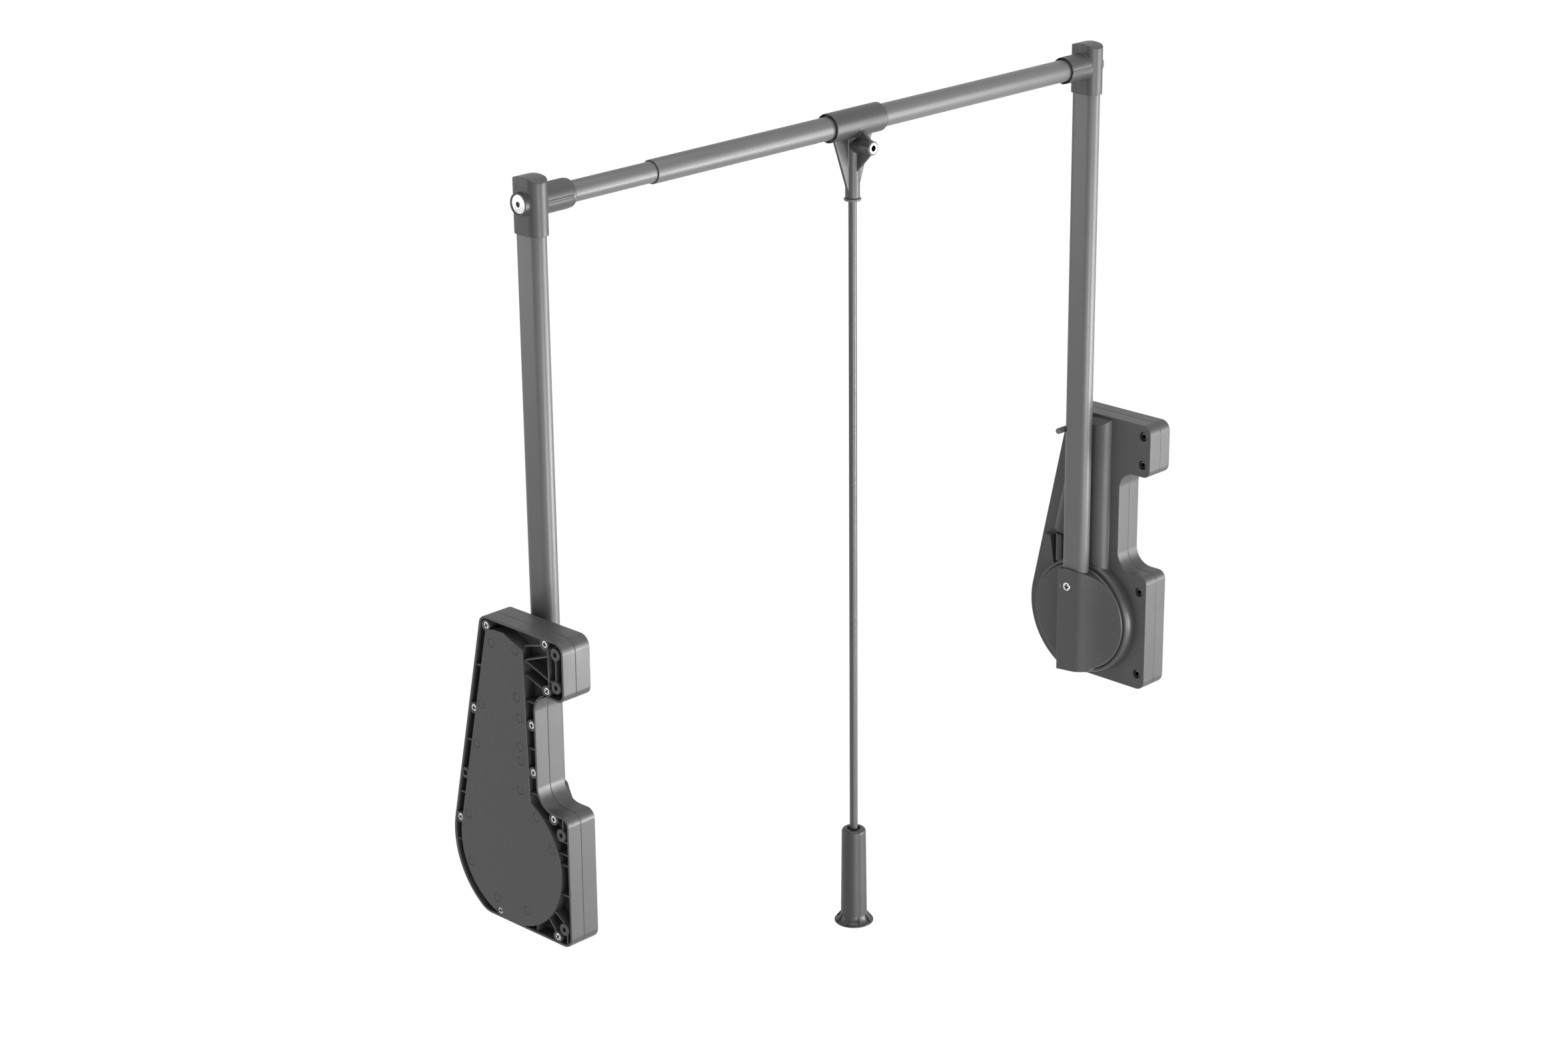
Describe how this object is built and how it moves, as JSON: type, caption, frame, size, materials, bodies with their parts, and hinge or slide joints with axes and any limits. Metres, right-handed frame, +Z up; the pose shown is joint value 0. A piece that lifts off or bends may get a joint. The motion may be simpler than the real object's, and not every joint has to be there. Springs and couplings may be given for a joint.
{
  "type": "pull down closet rod",
  "caption": "Pull-down closet rod: two wall housings, two swinging arms, a telescopic hanging rod and a pull rod with grip on a sliding sleeve.",
  "frame": {"origin": "Centre of the left arm's pivot axis, in the plane of the left wall face.", "axes": "X runs along the rod from the left housing to the right one, Y points to the back of the wardrobe, Z points up."},
  "size_m": [0.96, 0.1765, 0.958],
  "materials": {
    "charcoal_plastic": "satin, fine grain",
    "charcoal_tube": "fine textured powder coat",
    "black_plastic": "matt",
    "black_rubber": "matt",
    "zinc_steel": "zinc plated",
    "spring_steel": "oiled",
    "brass": "turned"
  },
  "bodies": {
    "left_housing": {"left_back_shell": "charcoal_plastic", "left_front_shell": "charcoal_plastic", "left_case_screws": "zinc_steel", "left_wall_bushings": "zinc_steel", "left_hub_bearing": "black_plastic", "left_lift_spring": "spring_steel", "left_spring_anchor": "zinc_steel", "left_damper_cylinder": "black_plastic", "left_stop_pin": "zinc_steel", "left_stop_sleeve": "black_rubber"},
    "left_arm": {"left_hub": "charcoal_plastic", "left_hub_axle": "zinc_steel", "left_drive_pinion": "zinc_steel", "left_retaining_ring": "spring_steel", "left_arm_tube": "charcoal_tube", "left_arm_screw": "zinc_steel", "left_corner_cap": "charcoal_plastic", "left_corner_screw": "zinc_steel", "left_tube_plug": "black_plastic", "inner_tube": "charcoal_tube", "reducer_bush": "charcoal_plastic"},
    "left_spring_rack": {"left_spring_rack": "zinc_steel"},
    "left_damper": {"left_damper_rack": "zinc_steel", "left_damper_rod": "zinc_steel"},
    "right_housing": {"right_back_shell": "charcoal_plastic", "right_front_shell": "charcoal_plastic", "right_case_screws": "zinc_steel", "right_wall_bushings": "zinc_steel", "right_hub_bearing": "black_plastic", "right_lift_spring": "spring_steel", "right_spring_anchor": "zinc_steel", "right_damper_cylinder": "black_plastic", "right_stop_pin": "zinc_steel", "right_stop_sleeve": "black_rubber"},
    "right_arm": {"right_hub": "charcoal_plastic", "right_hub_axle": "zinc_steel", "right_drive_pinion": "zinc_steel", "right_retaining_ring": "spring_steel", "right_arm_tube": "charcoal_tube", "right_arm_screw": "zinc_steel", "right_corner_cap": "charcoal_plastic", "right_corner_screw": "zinc_steel", "right_tube_plug": "black_plastic", "outer_tube": "charcoal_tube"},
    "right_spring_rack": {"right_spring_rack": "zinc_steel"},
    "right_damper": {"right_damper_rack": "zinc_steel", "right_damper_rod": "zinc_steel"},
    "handle_slider": {"sleeve_liner": "black_plastic"},
    "handle": {"pull_bracket": "charcoal_plastic", "front_insert": "brass", "stem_insert": "brass", "pull_rod": "charcoal_tube", "rod_collar": "charcoal_tube", "grip": "charcoal_plastic", "grip_screw": "zinc_steel"}
  },
  "joints": [
    {"name": "arm_swing", "type": "hinge", "parent": "left_housing", "child": "left_arm", "pos_m": [0, 0, 0], "axis": [1, 0, 0], "range_deg": [0, 100], "stiffness_Nm_per_rad": 6, "springref_deg": -34.38},
    {"name": "rod_extend", "type": "slide", "parent": "left_housing", "child": "right_housing", "axis": [1, 0, 0], "range_m": [-0.085, 0.185]},
    {"name": "right_arm_swing", "type": "hinge", "parent": "right_housing", "child": "right_arm", "pos_m": [0.96, 0, 0], "axis": [1, 0, 0], "range_deg": [0, 100]},
    {"name": "handle_slide", "type": "slide", "parent": "right_arm", "child": "handle_slider", "axis": [1, 0, 0], "range_m": [-0.25, 0.3]},
    {"name": "handle_swing", "type": "hinge", "parent": "handle_slider", "child": "handle", "pos_m": [0.512, 0, 0.672], "axis": [1, 0, 0], "continuous": true},
    {"name": "left_rack_slide", "type": "slide", "parent": "left_housing", "child": "left_spring_rack", "axis": [0, 0, 1], "range_m": [-0.036, 0], "deforming": ["left_lift_spring"]},
    {"name": "left_damper_slide", "type": "slide", "parent": "left_housing", "child": "left_damper", "axis": [0, -0.2164, 0.9763], "range_m": [0, 0.036]},
    {"name": "right_rack_slide", "type": "slide", "parent": "right_housing", "child": "right_spring_rack", "axis": [0, 0, 1], "range_m": [-0.036, 0], "deforming": ["right_lift_spring"]},
    {"name": "right_damper_slide", "type": "slide", "parent": "right_housing", "child": "right_damper", "axis": [0, -0.2164, 0.9763], "range_m": [0, 0.036]}
  ],
  "couplings": [
    {"joint": "right_arm_swing", "follows": "arm_swing", "ratio": 1},
    {"joint": "left_rack_slide", "follows": "arm_swing", "m_per_rad": -0.02},
    {"joint": "left_damper_slide", "follows": "arm_swing", "m_per_rad": 0.02},
    {"joint": "right_rack_slide", "follows": "arm_swing", "m_per_rad": -0.02},
    {"joint": "right_damper_slide", "follows": "arm_swing", "m_per_rad": 0.02}
  ]
}
